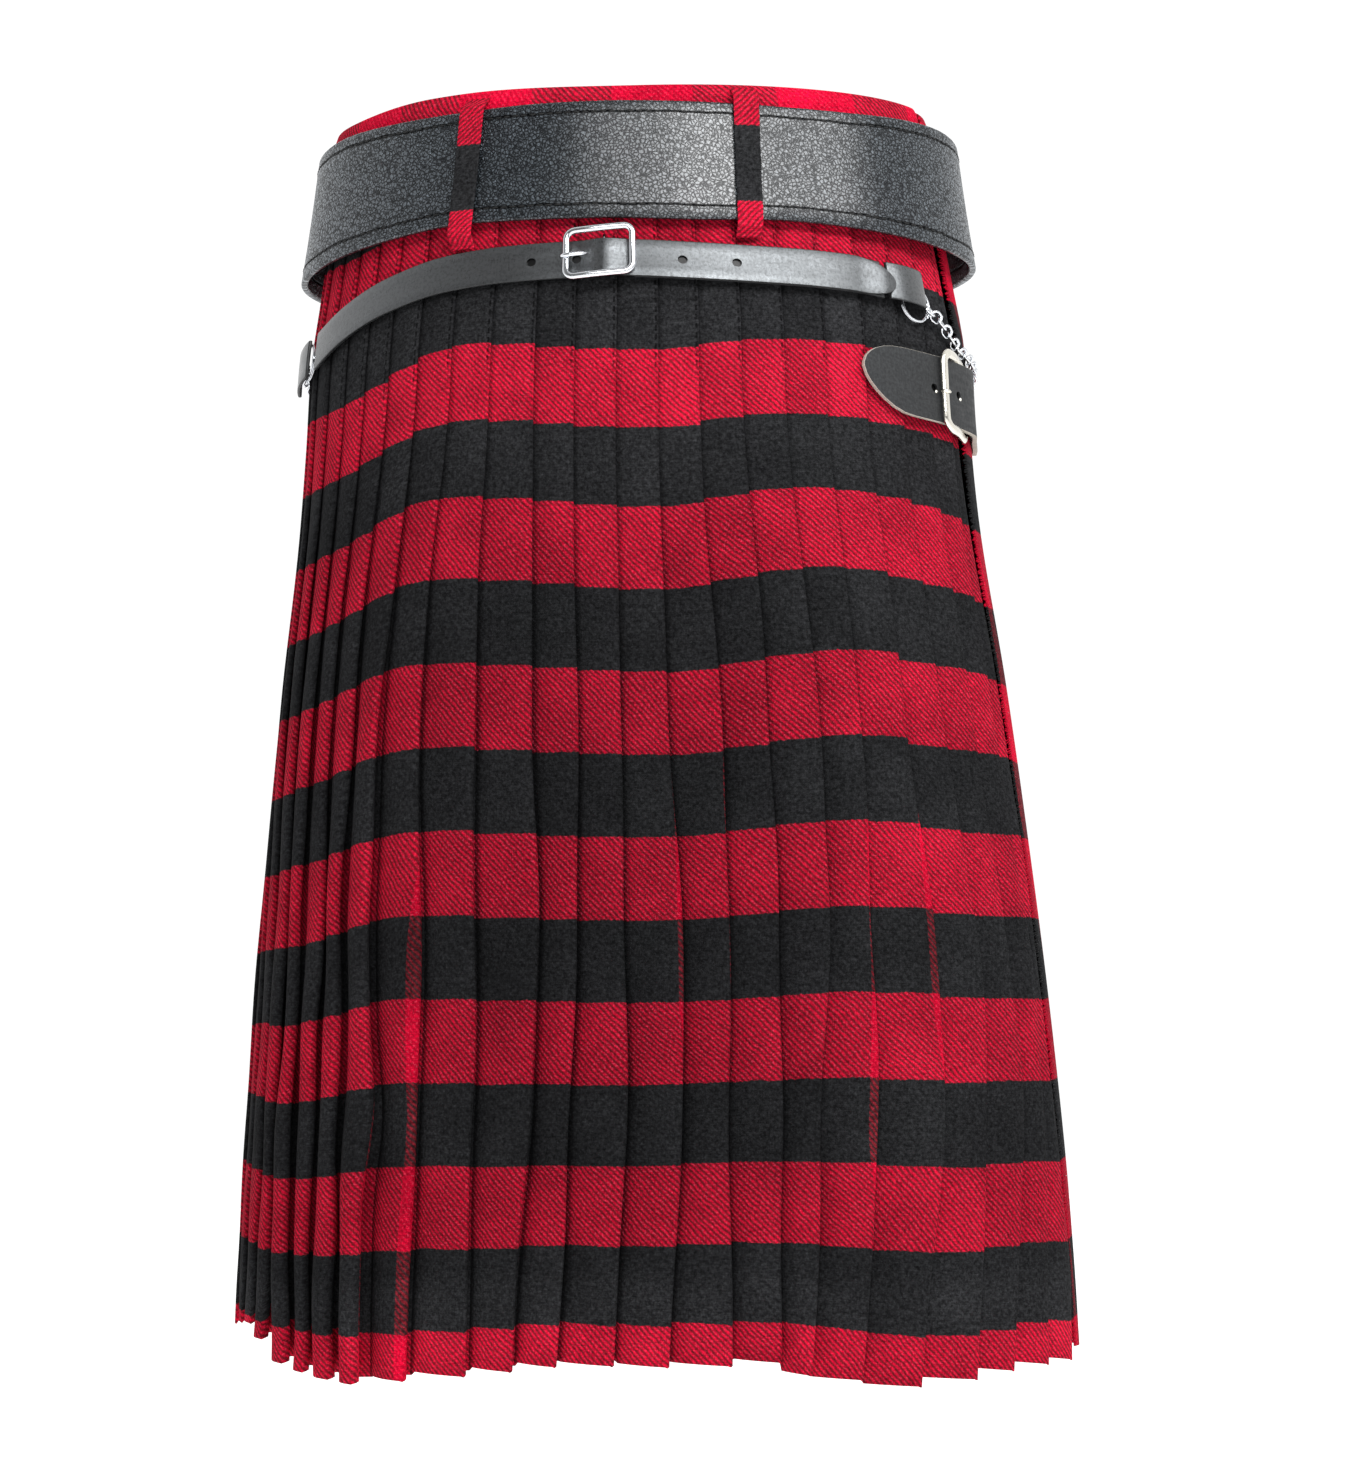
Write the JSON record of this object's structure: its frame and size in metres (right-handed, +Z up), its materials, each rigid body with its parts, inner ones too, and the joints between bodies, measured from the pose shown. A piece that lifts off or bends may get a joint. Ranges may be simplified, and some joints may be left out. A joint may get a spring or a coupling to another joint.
{
  "type": "scottish kilt",
  "caption": "Pleated kilt in a red and black check, in its worn hollow form, open at waist and hem, with wide leather belt, chain strap and hip buckle.",
  "frame": {"origin": "centre of the waist opening, level with the cloth's top edge, where the wearer's waist holds the kilt", "axes": "+Z up along the body; -Y towards the pleated back; +Y towards the front apron; +X towards the wearer's right hip"},
  "size_m": [0.4126, 0.2973, 0.6254],
  "materials": {
    "tartan": "twill woven in an even red and black check",
    "fringe": "loose red yarn",
    "belt_leather": "black pebble grain, edge stitched",
    "strap_leather": "smooth black, low sheen",
    "chrome": "polished",
    "nickel": "soft polished pale nickel"
  },
  "bodies": {
    "root": {"pleats": "tartan", "over_apron": "tartan", "under_apron": "tartan", "apron_fringe": "fringe", "waistband_back": "tartan", "waistband_front": "tartan", "belt_loop_left": "tartan", "belt_loop_right": "tartan", "belt": "belt_leather", "belt_buckle": "chrome", "sporran_strap_long": "strap_leather", "sporran_strap_short": "strap_leather", "sporran_strap_end_left": "strap_leather", "sporran_strap_end_right": "strap_leather", "sporran_buckle": "chrome", "sporran_buckle_bar": "chrome", "sporran_prong": "chrome", "split_ring_left": "chrome", "split_ring_right": "chrome", "chain_left": "chrome", "chain_right": "chrome", "chain_join_ring": "chrome", "side_strap": "strap_leather", "side_buckle": "nickel", "side_buckle_tab": "strap_leather", "side_prong": "nickel"}
  },
  "joints": []
}
